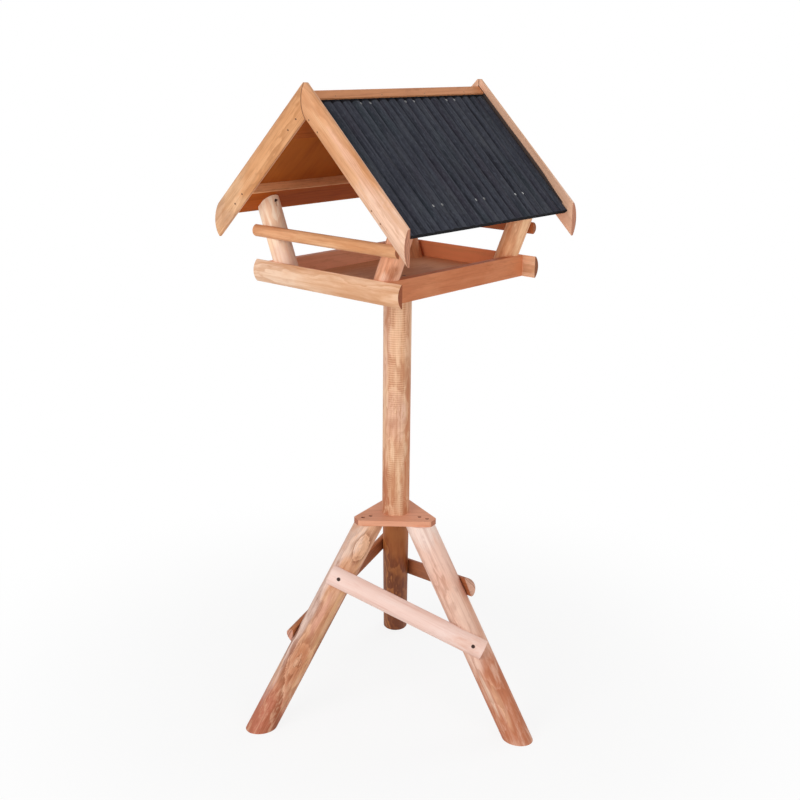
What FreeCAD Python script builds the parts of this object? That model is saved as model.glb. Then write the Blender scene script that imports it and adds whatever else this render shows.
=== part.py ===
import FreeCAD, Part
import os
import re
import Sketcher

# Bird table on a tripod stand, in millimetres.
# The origin is on the ground under the pole. X runs across the eaves, Y along the ridge, Z up.

SIZES = {
    # Stand: each leg is skewed a little, in degrees, from its corner of the plate
    "StandTurn": 129.5,
    "StandHeight": 453,
    "FootRadius": 329,
    "LegTopRadius": 63,
    "LegDiameter": 60,
    "RearLegSkew": 1.6,
    "LeftLegSkew": -0.6,
    "RightLegSkew": -3,
    "PlateThickness": 12,
    "PlateInradius": 59,
    "PlateCornerDistance": 98,
    "PlateCornerRadius": 7,
    # Braces: heights where the centre line crosses the legs, and what runs on past them
    "BraceWidth": 43.5,
    "BraceEdge": 4,
    "BraceBulge": 13,
    "BraceNotch": 2,
    "LeftBraceHigh": 302,
    "LeftBraceLow": 194,
    "LeftBraceHighEnd": 40,
    "LeftBraceLowEnd": 23,
    "FrontBraceHigh": 322,
    "FrontBraceLow": 194,
    "FrontBraceHighEnd": 22.5,
    "FrontBraceLowEnd": 22.5,
    "RightBraceHigh": 301,
    "RightBraceLow": 213,
    "RightBraceHighEnd": 37,
    "RightBraceLowEnd": 22,
    "LowScrewInset": 2,
    # Pole
    "PoleDiameter": 60,
    "PoleLength": 522,
    # Tray: length along the ridge between the end rails, width over the side boards
    "TrayLength": 424,
    "TrayWidth": 330,
    "TrayDepth": 45,
    "SideBoardThickness": 16,
    "FloorThickness": 10,
    "RailLength": 396,
    "RailEdge": 2.5,
    "RailBulge": 9.5,
    # Posts and perches: insets from the outside of the tray and from the lower purlins' eave edge
    "PostDiameter": 47,
    "PostInset": 40,
    "PostHeadSetback": 18.5,
    "PostFlat": 1.5,
    "PerchLength": 388,
    "PerchShift": 5,
    "PerchWidth": 24.5,
    "PerchEdge": 2,
    "PerchBulge": 9,
    "PerchRise": 94,
    # Roof: drops are square to the slope, reaches run down it, both from the top edge of the
    # bargeboards
    "ApexRise": 404,
    "ApexTrim": 4,
    "RoofPitch": 44,
    "RoofLength": 515,
    "BoardsPerSlope": 4,
    "RidgesPerBoard": 5,
    "BoardThickness": 11,
    "BoardRidge": 3.5,
    "BoardDrop": 17,
    "EaveReach": 356,
    "PurlinThickness": 20,
    "UpperPurlinReach": 105,
    "LowerPurlinReach": 322,
    "LowerPurlinWidth": 58,
    "StripReach": 33,
    "StripThickness": 4,
    "StripSeat": 0.6,
    "BargeboardSpan": 254.5,
    "BargeboardWidth": 48.5,
    "BargeboardEdge": 5.5,
    "BargeboardBulge": 10,
    # Wood screws for the stand, the pole, the posts and the braces
    "ScrewDiameter": 4.5,
    "ScrewHeadDiameter": 8.5,
    "ScrewHeadHeight": 3,
    "ScrewTip": 5,
    "ScrewSocketShare": 0.42,
    "ScrewSocketDepth": 1.6,
    "ScrewSink": 1.5,
    "ScrewLength": 45,
    "PoleScrewLength": 60,
    "PoleScrewCircle": 17,
    "LegScrewInner": 62,
    "LegScrewOuter": 81,
    "PostScrewLength": 28,
    "PostScrewInset": 20,
    "PostScrewHeadDrop": 11,
    # Roof screws
    "RoofScrewDiameter": 3.5,
    "RoofScrewHeadDiameter": 5.4,
    "RoofScrewHeadHeight": 1.8,
    "RoofScrewSink": 1.3,
    "RoofScrewLength": 24,
    "RoofScrewShift": 9,
    "UpperScrewReach": 44,
    "LowerScrewReach": 299,
    # Nails, pins and dowels
    "NailDiameter": 2.8,
    "NailHeadDiameter": 3.8,
    "NailHeadHeight": 1.2,
    "NailLength": 45,
    "NailSink": 0.3,
    "NailEdgeDistance": 14,
    "PinDiameter": 1.8,
    "PinHeadDiameter": 2.8,
    "PinHeadHeight": 0.8,
    "PinLength": 11,
    "PinReach": 28,
    "DowelDiameter": 6,
    "DowelLength": 24,
    "DowelBite": 6,
    "FloorDowelDiameter": 5,
    "FloorDowelLength": 18,
    "FloorDowelBite": 4,
    "FloorDowelSpacing": 150,
}

# Heights and angles that follow from the sizes, as expressions
PLATE_BOTTOM = "(StandHeight - PlateThickness)"
TRAY_BOTTOM = "(StandHeight + PoleLength)"
FLOOR_TOP = f"({TRAY_BOTTOM} + FloorThickness)"
APEX = f"({TRAY_BOTTOM} + ApexRise)"
LEG_SPREAD = "(FootRadius - LegTopRadius)"
LEG_LEAN = f"(atan({LEG_SPREAD} / {PLATE_BOTTOM}) / 1 deg)"
BOARD_UNDERSIDE = "(BoardDrop + BoardThickness)"
PURLIN_UNDERSIDE = "(BoardDrop + BoardThickness + PurlinThickness)"
POST_CENTRE = "(TrayLength / 2 + PostFlat - PostDiameter / 2)"
POST_FOOT = "(TrayWidth / 2 - PostInset)"
POST_REACH = "(LowerPurlinReach - PostHeadSetback)"
POST_HEAD = f"({POST_REACH} * cos(RoofPitch) - {PURLIN_UNDERSIDE} * sin(RoofPitch))"
POST_RISE = (f"({APEX} - {POST_REACH} * sin(RoofPitch) - {PURLIN_UNDERSIDE} * cos(RoofPitch)"
             f" - {FLOOR_TOP})")
POST_SLOPE = f"(({POST_HEAD} - {POST_FOOT}) / {POST_RISE})"
BOARD_WIDTH = "(RoofLength / BoardsPerSlope)"
RIDGE_PITCH = "(RoofLength / BoardsPerSlope / RidgesPerBoard)"

SIDES = {"right": 1, "left": -1}
ENDS = {"front": -1, "back": 1}

doc = FreeCAD.newDocument("BirdTable")
sheet = doc.addObject("Spreadsheet::Sheet", "Sizes")
nodes = []


def fill_sheet():
    for row, (name, value) in enumerate(SIZES.items(), start=1):
        sheet.set(f"A{row}", name)
        sheet.set(f"B{row}", str(value))
        sheet.setAlias(f"B{row}", name)
    doc.recompute()


def count(name):
    return int(sheet.get(name))


def from_sheet(text):
    """Point each size named in the text at its cell."""
    return re.sub(r"[A-Z][A-Za-z]+", lambda word: f"Sizes.{word.group()}" if word.group() in SIZES
                  else word.group(), str(text))


def bind(thing, **sizes):
    for prop, text in sizes.items():
        thing.setExpression(prop, from_sheet(text))


def at(x=0, y=0, z=0, yaw=0, pitch=0, roll=0):
    return (f"create(<<placement>>; create(<<vector>>; {x}; {y}; {z}); "
            f"create(<<rotation>>; {yaw}; {pitch}; {roll}))")


def place(thing, *frames):
    if frames:
        thing.setExpression("Placement", from_sheet(" * ".join(frames)))


# Building blocks

def box(name, length, width, height, *frames):
    thing = doc.addObject("Part::Box", name)
    bind(thing, Length=length, Width=width, Height=height)
    place(thing, *frames)
    return thing


def cylinder(name, diameter, height, *frames):
    thing = doc.addObject("Part::Cylinder", name)
    bind(thing, Radius=f"{diameter} / 2", Height=height)
    place(thing, *frames)
    return thing


def cone(name, lower, upper, height, *frames):
    thing = doc.addObject("Part::Cone", name)
    bind(thing, Radius1=f"{lower} / 2", Radius2=f"{upper} / 2", Height=height)
    place(thing, *frames)
    return thing


def prism(name, sides, radius, height, *frames):
    thing = doc.addObject("Part::Prism", name)
    thing.Polygon = sides
    bind(thing, Circumradius=radius, Height=height)
    place(thing, *frames)
    return thing


def fuse(name, *shapes):
    thing = doc.addObject("Part::MultiFuse", name)
    thing.Shapes = list(shapes)
    return thing


def common(base, *tools):
    for number, tool in enumerate(tools, start=1):
        thing = doc.addObject("Part::Common", f"{base.Name}_room{number}")
        thing.Base = base
        thing.Tool = tool
        base = thing
    return base


def cut(base, *tools):
    for number, tool in enumerate(tools, start=1):
        thing = doc.addObject("Part::Cut", f"{base.Name}_cut{number}")
        thing.Base = base
        thing.Tool = tool
        base = thing
    return base


def round_upright_edges(base, radius):
    doc.recompute()
    value = sheet.get(radius)
    thing = doc.addObject("Part::Fillet", f"{base.Name}_rounded")
    thing.Base = base
    thing.Edges = [(number, value, value) for number, edge in enumerate(base.Shape.Edges, start=1)
                   if edge.BoundBox.ZLength > edge.Length * 0.99]
    return thing


def copies(name, source, frame_lists):
    """One compound of links to the source, each at its own place."""
    links = []
    for number, frames in enumerate(frame_lists, start=1):
        link = doc.addObject("App::Link", f"{name}_{number}")
        link.LinkedObject = source
        place(link, *frames)
        links.append(link)
    group = doc.addObject("Part::Compound", name)
    group.Links = links
    return group


def node(name, thing):
    thing.Label = name
    nodes.append(thing)
    return thing


def origin_feature(body, role):
    return next(item for item in body.Origin.OriginFeatures if item.Role == role)


def half_round(name, length, width, edge, bulge, *frames, ridges=None):
    """A bar with one flat side on local XY and a round side up, centred along X and across Y.

    With ridges, the section is repeated that many times along Y."""
    body = doc.addObject("PartDesign::Body", name)
    sketch = body.newObject("Sketcher::SketchObject", f"{name}_section")
    sketch.AttachmentSupport = [(origin_feature(body, "YZ_Plane"), "")]
    sketch.MapMode = "FlatFace"
    half, low, high = 10, 3, 8
    left_foot = FreeCAD.Vector(-half, 0, 0)
    left_top = FreeCAD.Vector(-half, low, 0)
    right_foot = FreeCAD.Vector(half, 0, 0)
    right_top = FreeCAD.Vector(half, low, 0)
    crown = FreeCAD.Vector(0, high, 0)
    sketch.addGeometry(Part.LineSegment(left_top, left_foot))
    sketch.addGeometry(Part.LineSegment(left_foot, right_foot))
    sketch.addGeometry(Part.LineSegment(right_foot, right_top))
    sketch.addGeometry(Part.Arc(right_top, crown, left_top))
    rules = [
        ("Coincident", 0, 2, 1, 1), ("Coincident", 1, 2, 2, 1),
        ("Coincident", 2, 2, 3, 1), ("Coincident", 3, 2, 0, 1),
        ("Vertical", 0), ("Horizontal", 1), ("Vertical", 2), ("Equal", 0, 2),
        ("Symmetric", 0, 2, 2, 1, -1, 1),
    ]
    for rule in rules:
        sketch.addConstraint(Sketcher.Constraint(*rule))
    measures = {
        "Width": (Sketcher.Constraint("DistanceX", 1, 1, 1, 2, 2 * half), width),
        "Edge": (Sketcher.Constraint("DistanceY", 2, 1, 2, 2, low), edge),
        "Centre": (Sketcher.Constraint("DistanceY", 3, 3, 0, 1, 7.5),
                   f"(({width}) ^ 2 / 4 - ({bulge}) ^ 2) / (2 * ({bulge}))"),
    }
    for title, (constraint, text) in measures.items():
        index = sketch.addConstraint(constraint)
        sketch.renameConstraint(index, title)
        sketch.setExpression(f"Constraints.{title}", from_sheet(text))
    pad = body.newObject("PartDesign::Pad", f"{name}_pad")
    pad.Profile = sketch
    pad.SideType = "Symmetric"
    bind(pad, Length=length)
    sketch.Visibility = False
    if ridges:
        doc.recompute()
        pattern = body.newObject("PartDesign::LinearPattern", f"{name}_ridges")
        pattern.Originals = [pad]
        pattern.Direction = (origin_feature(body, "Y_Axis"), [""])
        bind(pattern, Length=f"({width}) * ({ridges} - 1)", Occurrences=ridges)
        body.Tip = pattern
    place(body, *frames)
    return body


def round_height(width, edge, bulge, offset):
    """Height of a half-round bar's round side, at that offset from its middle line."""
    radius = f"((({width}) ^ 2 / 4 + ({bulge}) ^ 2) / (2 * ({bulge})))"
    return f"(({edge}) + ({bulge}) - {radius} + sqrt({radius} ^ 2 - ({offset}) ^ 2))"


def screw(name, diameter, head, head_height, length, sink):
    """A countersunk screw, head at the origin and point down, and the hole that it fills.

    The hole has room for the head over the given height above it."""
    shank = cylinder(f"{name}_shank", diameter, f"({length}) - ScrewTip",
                     at(z=f"ScrewTip - ({length})"))
    tip = cone(f"{name}_tip", "0.6", diameter, "ScrewTip", at(z=f"-({length})"))
    bevel = cone(f"{name}_bevel", diameter, head, head_height, at(z=f"-{head_height}"))
    blank = fuse(f"{name}_blank", shank, tip, bevel)
    socket = prism(f"{name}_socket", 6, f"{head} * ScrewSocketShare / 2", "ScrewSocketDepth",
                   at(z="-ScrewSocketDepth"))
    room = cylinder(f"{name}_room", head, sink)
    return cut(blank, socket), fuse(f"{name}_hole", blank, room)


def nail(name, diameter, head, head_height, length, sink):
    """A flat-headed nail, head at the origin and point down, and the hole that it fills."""
    shank = cylinder(f"{name}_shank", diameter, length, at(z=f"-({length})"))
    disc = cylinder(f"{name}_disc", head, head_height, at(z=f"-{head_height}"))
    blank = fuse(name, shank, disc)
    room = cylinder(f"{name}_room", head, sink)
    return blank, fuse(f"{name}_hole", blank, room)


fill_sheet()

# Frames that several pieces share

SLOPE = {
    "right": at(z=APEX, pitch="RoofPitch"),
    "left": at(z=APEX, yaw=180, pitch="RoofPitch"),
}
right_half = box("right_half", "EaveReach", "2 * RoofLength", f"2 * {APEX}", at(y="-RoofLength"))
left_half = box("left_half", "EaveReach", "2 * RoofLength", f"2 * {APEX}",
                at(x="-EaveReach", y="-RoofLength"))
HALF = {"right": right_half, "left": left_half}

wood_screw, wood_screw_hole = screw("wood_screw", "ScrewDiameter", "ScrewHeadDiameter",
                                    "ScrewHeadHeight", "ScrewLength", "PlateThickness")


# Tripod stand: three legs under a plate, three braces let into the legs

LEGS = {"rear": 0, "left": 120, "right": 240}
BRACES = {"Left": ("rear", "left"), "Front": ("left", "right"), "Right": ("right", "rear")}


def plate_corner(leg):
    return at(yaw=f"StandTurn + {LEGS[leg]}")


def leg_turn(leg):
    return f"(StandTurn + {LEGS[leg]} + {leg.title()}LegSkew)"


def side_tilt(spread):
    """How far a side of the stand leans in, where its legs stand that angle each way from it."""
    return f"(atan({LEG_SPREAD} * cos({spread}) / {PLATE_BOTTOM}) / 1 deg)"


def brace_frame(high_leg, spread):
    """X level from the high leg to the low one, Y up the side of the stand, Z outwards."""
    side = at(yaw=f"{leg_turn(high_leg)} + {spread}")
    return side + " * " + at(x=f"FootRadius * cos({spread})", yaw=90,
                             roll=f"90 - {side_tilt(spread)}")


def brace_crossing(height, spread, sign):
    """Where a leg's axis stands at that height, in the brace frame."""
    reach = f"(FootRadius - {LEG_SPREAD} * {height} / {PLATE_BOTTOM})"
    return f"({sign} * sin({spread}) * {reach})", f"({height} / cos({side_tilt(spread)}))"


braces = {}
brace_screw_frames = []
for title, (high_leg, low_leg) in BRACES.items():
    spread = f"(60 + ({low_leg.title()}LegSkew - {high_leg.title()}LegSkew) / 2)"
    high_x, high_y = brace_crossing(f"{title}BraceHigh", spread, -1)
    low_x, low_y = brace_crossing(f"{title}BraceLow", spread, 1)
    run = f"({low_x} - {high_x})"
    fall = f"({high_y} - {low_y})"
    span = f"sqrt({run} ^ 2 + {fall} ^ 2)"
    slope = f"-(atan({fall} / {run}) / 1 deg)"
    flat = "(LegDiameter / 2 - BraceNotch)"
    on_line = at(x=high_x, y=high_y, z=flat, yaw=slope)
    centre = at(x=f"({span} + {title}BraceLowEnd - {title}BraceHighEnd) / 2")
    frame = brace_frame(high_leg, spread)
    braces[title] = half_round(
        f"brace_{title.lower()}_bar", f"{span} + {title}BraceHighEnd + {title}BraceLowEnd",
        "BraceWidth", "BraceEdge", "BraceBulge", frame, on_line, centre)
    head = "BraceEdge + BraceBulge - ScrewSink"
    brace_screw_frames.append((frame, on_line, at(z=head)))
    brace_screw_frames.append((frame, on_line, at(x=f"{span} - LowScrewInset", z=head)))

leg_screw_frames = [(plate_corner(leg), at(x=radius, z="StandHeight - ScrewSink"))
                    for leg in LEGS for radius in ("LegScrewInner", "LegScrewOuter")]
leg_screw_holes = copies("leg_screw_holes", wood_screw_hole, leg_screw_frames)
brace_screw_holes = copies("brace_screw_holes", wood_screw_hole, brace_screw_frames)
node("leg_screws", copies("leg_screws", wood_screw, leg_screw_frames))
node("brace_screws", copies("brace_screws", wood_screw, brace_screw_frames))

under_plate = box("under_plate", "4 * FootRadius", "4 * FootRadius", PLATE_BOTTOM,
                  at(x="-2 * FootRadius", y="-2 * FootRadius"))
for leg in LEGS:
    stock = cylinder(f"leg_{leg}_stock", "LegDiameter",
                     f"{PLATE_BOTTOM} / cos({LEG_LEAN}) + 4 * LegDiameter",
                     at(yaw=leg_turn(leg)), at(x="FootRadius", pitch=f"-{LEG_LEAN}"),
                     at(z="-2 * LegDiameter"))
    notches = [braces[title] for title, pair in BRACES.items() if leg in pair]
    trimmed = common(stock, under_plate)
    node(f"leg_{leg}", cut(trimmed, *notches, leg_screw_holes, brace_screw_holes))
for title, bar in braces.items():
    node(f"brace_{title.lower()}", cut(bar, brace_screw_holes))


# Pole on the plate, with screws into both ends

pole_screw, pole_screw_hole = screw("pole_screw", "ScrewDiameter", "ScrewHeadDiameter",
                                    "ScrewHeadHeight", "PoleScrewLength", "PlateThickness")
THIRDS = (0, 120, 240)
pole_foot_frames = [(at(yaw=f"StandTurn + {turn} + 60"),
                     at(x="PoleScrewCircle", z=PLATE_BOTTOM, roll=180)) for turn in THIRDS]
pole_head_frames = [(at(yaw=turn), at(x="PoleScrewCircle", z=FLOOR_TOP)) for turn in THIRDS]
pole_foot_holes = copies("pole_foot_holes", pole_screw_hole, pole_foot_frames)
pole_head_holes = copies("pole_head_holes", pole_screw_hole, pole_head_frames)
node("pole_foot_screws", copies("pole_foot_screws", pole_screw, pole_foot_frames))
node("pole_head_screws", copies("pole_head_screws", pole_screw, pole_head_frames))

triangle = prism("plate_triangle", 3, "2 * PlateInradius", "PlateThickness",
                 at(z=PLATE_BOTTOM, yaw="StandTurn"))
corner_cut = prism("plate_corner_cut", 3, "2 * PlateCornerDistance", "PlateThickness",
                   at(z=PLATE_BOTTOM, yaw="StandTurn + 60"))
plate_stock = round_upright_edges(common(triangle, corner_cut), "PlateCornerRadius")
node("tripod_plate", cut(plate_stock, leg_screw_holes, pole_foot_holes))
pole_stock = cylinder("pole_stock", "PoleDiameter", "PoleLength", at(z="StandHeight"))
node("pole", cut(pole_stock, pole_foot_holes, pole_head_holes))


# Tray: a floor inside two end rails and two side boards, held by dowels

tray_dowel = cylinder("tray_dowel", "DowelDiameter", "DowelLength")
floor_dowel = cylinder("floor_dowel", "FloorDowelDiameter", "FloorDowelLength")
post_foot_frames = [(at(x=f"{side} * {POST_FOOT}", y=f"{end} * {POST_CENTRE}", z=TRAY_BOTTOM,
                        roll=180),) for side in SIDES.values() for end in ENDS.values()]
post_foot_holes = copies("post_foot_holes", wood_screw_hole, post_foot_frames)
node("post_foot_screws", copies("post_foot_screws", wood_screw, post_foot_frames))


def post_offset(height):
    """How far the post's axis is from the middle of the tray at that height."""
    return f"({POST_FOOT} + ({height} - {FLOOR_TOP}) * {POST_SLOPE})"


def into_end(x, z, bite):
    """Frames for dowels that run along Y across both end faces of the tray, one to a side."""
    frames = []
    for side in SIDES.values():
        for turn in (0, 180):
            frames.append((at(yaw=turn), at(x=f"{side} * ({x})", y=f"-TrayLength / 2 - {bite}",
                                            z=z, roll=-90)))
    return frames


board_middle = "(TrayWidth - SideBoardThickness) / 2"
tray_dowel_frames = []
for share in ("0.25", "0.75"):
    tray_dowel_frames += into_end(board_middle, f"{TRAY_BOTTOM} + {share} * TrayDepth", "DowelBite")
floor_middle = f"({TRAY_BOTTOM} + FloorThickness / 2)"
floor_dowel_frames = into_end("FloorDowelSpacing / 2", floor_middle, "FloorDowelBite")
for end in ENDS.values():
    for turn in (0, 180):
        floor_dowel_frames.append((
            at(yaw=turn), at(x="TrayWidth / 2 - SideBoardThickness + FloorDowelBite",
                             y=f"{end} * FloorDowelSpacing / 2", z=floor_middle, pitch=-90)))
rail_height = f"({TRAY_BOTTOM} + TrayDepth * 0.65)"
rail_dowel_frames = into_end(post_offset(rail_height), rail_height, "DowelBite")
perch_height = f"({FLOOR_TOP} + PerchRise)"
perch_dowel_frames = into_end(post_offset(perch_height), perch_height, "DowelBite")

tray_dowels = node("tray_dowels", copies("tray_dowels", tray_dowel, tray_dowel_frames))
floor_dowels = node("floor_dowels", copies("floor_dowels", floor_dowel, floor_dowel_frames))
rail_dowels = node("rail_dowels", copies("rail_dowels", tray_dowel, rail_dowel_frames))
perch_dowels = node("perch_dowels", copies("perch_dowels", tray_dowel, perch_dowel_frames))

floor_stock = box("floor_stock", "TrayWidth - 2 * SideBoardThickness", "TrayLength",
                  "FloorThickness", at(x="SideBoardThickness - TrayWidth / 2",
                                       y="-TrayLength / 2", z=TRAY_BOTTOM))
node("tray_floor", cut(floor_stock, pole_head_holes, post_foot_holes, floor_dowels))

side_boards = {}
for side, sign in SIDES.items():
    board = box(f"side_board_{side}_stock", "SideBoardThickness", "TrayLength", "TrayDepth",
                at(x=f"{sign} * {board_middle} - SideBoardThickness / 2", y="-TrayLength / 2",
                   z=TRAY_BOTTOM))
    side_boards[side] = board
    node(f"side_board_{side}", cut(board, tray_dowels, floor_dowels))

for end, turn in (("front", 0), ("back", 180)):
    rail = half_round(f"end_rail_{end}_bar", "RailLength", "TrayDepth", "RailEdge", "RailBulge",
                      at(yaw=turn), at(y="-TrayLength / 2", z=f"{TRAY_BOTTOM} + TrayDepth / 2",
                                       roll=90))
    node(f"end_rail_{end}", cut(rail, tray_dowels, floor_dowels, rail_dowels))
    perch = half_round(f"perch_{end}_bar", "PerchLength", "PerchWidth", "PerchEdge", "PerchBulge",
                       at(x="-PerchShift", yaw=turn),
                       at(y="-TrayLength / 2", z=perch_height, roll=90))
    node(f"perch_{end}", cut(perch, perch_dowels))


# Posts: from the floor up to the lower purlins, flat where rail and perch touch them

post_screw, post_screw_hole = screw("post_screw", "ScrewDiameter", "ScrewHeadDiameter",
                                    "ScrewHeadHeight", "PostScrewLength", "PostDiameter")
post_head_frames = [(SLOPE[side], at(x=f"{POST_REACH} - PostScrewInset",
                                     y=f"{end} * {POST_CENTRE}",
                                     z=f"-({PURLIN_UNDERSIDE} + PostScrewHeadDrop)", roll=180))
                    for side in SIDES for end in ENDS.values()]
post_head_holes = copies("post_head_holes", post_screw_hole, post_head_frames)
node("post_head_screws", copies("post_head_screws", post_screw, post_head_frames))

above_floor = box("above_floor", "2 * EaveReach", "TrayLength", "ApexRise",
                  at(x="-EaveReach", y="-TrayLength / 2", z=FLOOR_TOP))
for side, sign in SIDES.items():
    under_purlin = box(f"under_purlin_{side}", "2 * EaveReach", "TrayLength", "2 * ApexRise",
                       SLOPE[side], at(x="-EaveReach / 2", y="-TrayLength / 2",
                                       z=f"-{PURLIN_UNDERSIDE} - 2 * ApexRise"))
    for end, end_sign in ENDS.items():
        stock = cylinder(f"post_{end}_{side}_stock", "PostDiameter", "ApexRise + PostDiameter",
                         at(x=f"{sign} * {POST_FOOT}", y=f"{end_sign} * {POST_CENTRE}",
                            z=FLOOR_TOP, pitch=f"{sign} * atan({POST_SLOPE}) / 1 deg"),
                         at(z="-PostDiameter"))
        trimmed = common(stock, above_floor, under_purlin)
        node(f"post_{end}_{side}", cut(trimmed, side_boards[side], post_foot_holes, rail_dowels,
                                       perch_dowels, post_head_holes))


# Roof: purlins, fluted boards, ridge strips and bargeboards

roof_screw, roof_screw_hole = screw("roof_screw", "RoofScrewDiameter", "RoofScrewHeadDiameter",
                                    "RoofScrewHeadHeight", "RoofScrewLength", "BoardThickness")
nail_body, nail_hole = nail("nail", "NailDiameter", "NailHeadDiameter", "NailHeadHeight",
                            "NailLength", "BargeboardBulge")
pin_body, pin_hole = nail("pin", "PinDiameter", "PinHeadDiameter", "PinHeadHeight", "PinLength",
                          "StripThickness")


def board_middle_along(number):
    """Where a roof board's middle lies along the ridge, the first board at the front."""
    return f"(({number} - (BoardsPerSlope - 1) / 2) * {BOARD_WIDTH})"


board_numbers = range(count("BoardsPerSlope"))
nail_drop = f"({BOARD_UNDERSIDE} + PurlinThickness / 2)"
nail_seat = round_height("BargeboardWidth", "BargeboardEdge", "BargeboardBulge",
                         f"{nail_drop} - BargeboardWidth / 2")
roof_screw_frames = []
pin_frames = []
nail_frames = []
for side in SIDES:
    flip = SIDES[side]
    for number in board_numbers:
        middle = f"{flip} * {board_middle_along(number)}"
        for edge in (-1, 1):
            outermost = number == (0 if flip * edge < 0 else board_numbers[-1])
            shift = "0" if outermost else f"{flip} * RoofScrewShift"
            y = f"{middle} + {edge} * ({BOARD_WIDTH} - {RIDGE_PITCH}) / 2 + {shift}"
            for reach in ("UpperScrewReach", "LowerScrewReach"):
                roof_screw_frames.append((SLOPE[side],
                                          at(x=reach, y=y, z="-BoardDrop - RoofScrewSink")))
        pin_frames.append((SLOPE[side], at(x="PinReach", y=middle,
                                           z="StripThickness - StripSeat - BoardDrop")))
    nail_reaches = (
        f"{BOARD_UNDERSIDE} * tan(RoofPitch) + PurlinThickness + NailEdgeDistance",
        "UpperPurlinReach - NailEdgeDistance",
        "LowerPurlinReach - LowerPurlinWidth + NailEdgeDistance",
        "LowerPurlinReach - NailEdgeDistance",
    )
    for reach in nail_reaches:
        for end in ENDS.values():
            nail_frames.append((
                SLOPE[side], at(x=reach, y=f"{end} * (RoofLength / 2 + {nail_seat} - NailSink)",
                                z=f"-{nail_drop}", roll=f"{end} * -90")))

roof_screw_holes = copies("roof_screw_holes", roof_screw_hole, roof_screw_frames)
nail_holes = copies("nail_holes", nail_hole, nail_frames)
pin_holes = copies("pin_holes", pin_hole, pin_frames)
node("roof_screws", copies("roof_screws", roof_screw, roof_screw_frames))
node("bargeboard_nails", copies("bargeboard_nails", nail_body, nail_frames))
node("ridge_pins", copies("ridge_pins", pin_body, pin_frames))


def along_roof(name, side, start, reach, thickness, top):
    """A strip as long as the roof, from one reach down the slope to another."""
    return box(name, f"{reach} - ({start})", "RoofLength", thickness, SLOPE[side],
               at(x=start, y="-RoofLength / 2", z=f"-({top}) - {thickness}"))


for side, sign in SIDES.items():
    upper = along_roof(f"upper_purlin_{side}_stock", side, "0", "UpperPurlinReach",
                       "PurlinThickness", BOARD_UNDERSIDE)
    node(f"upper_purlin_{side}", cut(common(upper, HALF[side]), roof_screw_holes, nail_holes))
    lower = along_roof(f"lower_purlin_{side}_stock", side, "LowerPurlinReach - LowerPurlinWidth",
                       "LowerPurlinReach", "PurlinThickness", BOARD_UNDERSIDE)
    node(f"lower_purlin_{side}", cut(lower, roof_screw_holes, nail_holes, post_head_holes))
    strip = along_roof(f"ridge_strip_{side}_stock", side, "0", "StripReach", "StripThickness",
                       "BoardDrop + StripSeat - StripThickness")
    strip_room = common(strip, HALF[side])
    node(f"ridge_strip_{side}", cut(strip_room, pin_holes))
    for number in board_numbers:
        first_ridge = f"{sign} * {board_middle_along(number)} - ({BOARD_WIDTH} - {RIDGE_PITCH}) / 2"
        board = half_round(f"roof_board_{side}_{number + 1}_bar", "EaveReach", RIDGE_PITCH,
                           "BoardThickness - BoardRidge", "BoardRidge", SLOPE[side],
                           at(x="EaveReach / 2", y=first_ridge, z=f"-{BOARD_UNDERSIDE}"),
                           ridges="RidgesPerBoard")
        node(f"roof_board_{side}_{number + 1}",
             cut(common(board, HALF[side]), strip_room, roof_screw_holes, pin_holes))
    span_box = box(f"bargeboard_room_{side}", "BargeboardSpan", "2 * RoofLength",
                   f"{APEX} - ApexTrim",
                   at(x=f"({sign} - 1) / 2 * BargeboardSpan", y="-RoofLength"))
    for end, end_sign in ENDS.items():
        board = half_round(f"bargeboard_{end}_{side}_bar", "2 * EaveReach", "BargeboardWidth",
                           "BargeboardEdge", "BargeboardBulge", SLOPE[side],
                           at(x="EaveReach / 2", y=f"{sign * end_sign} * RoofLength / 2",
                              z="-BargeboardWidth / 2", roll=-90 * sign * end_sign))
        node(f"bargeboard_{end}_{side}", cut(common(board, span_box), nail_holes))


# Check everything, then write one file for each node

doc.recompute()
for thing in doc.Objects:
    if "Invalid" in thing.State or "Error" in thing.State:
        raise RuntimeError(f"{thing.Name} failed: {thing.State}")
os.makedirs("parts", exist_ok=True)
for thing in nodes:
    shape = thing.Shape
    if shape.isNull() or not shape.isValid() or not shape.Solids:
        raise RuntimeError(f"{thing.Label} has no valid solid")
    shape.exportStep(f"parts/{thing.Label}.step")
print(f"{len(nodes)} nodes written")
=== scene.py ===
"""Looks of the bird table: stained timber, steel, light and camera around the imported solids.

Lengths are metres in the frame of the solids: X across the eaves, Y along the ridge with the
front gable at -Y, Z up, and the origin on the ground under the pole.
"""

import math

import bpy
from mathutils import Matrix, Vector

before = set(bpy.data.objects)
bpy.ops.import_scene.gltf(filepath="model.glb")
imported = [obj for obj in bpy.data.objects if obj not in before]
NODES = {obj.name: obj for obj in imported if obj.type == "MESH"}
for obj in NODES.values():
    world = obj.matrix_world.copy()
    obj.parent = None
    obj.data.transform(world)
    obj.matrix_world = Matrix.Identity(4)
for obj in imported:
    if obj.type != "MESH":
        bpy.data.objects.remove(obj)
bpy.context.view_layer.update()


# Sizes that the looks share with the solids

SIDES = {"right": 1, "left": -1}
ENDS = {"front": -1, "back": 1}
ACROSS_EAVES, ALONG_RIDGE, UP = (1, 0, 0), (0, 1, 0), (0, 0, 1)

STAND_TURN = 129.5                  # azimuth of the plate's rear corner, degrees
LEG_TURNS = {"rear": 1.6, "left": 119.4, "right": 237.0}     # from that corner, degrees
FOOT_RADIUS, LEG_TOP_RADIUS = 0.329, 0.063
LEG_TOP, POLE_FOOT = 0.441, 0.453
BRACE_RISE = 0.1                    # how far a brace's round side looks up

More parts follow.
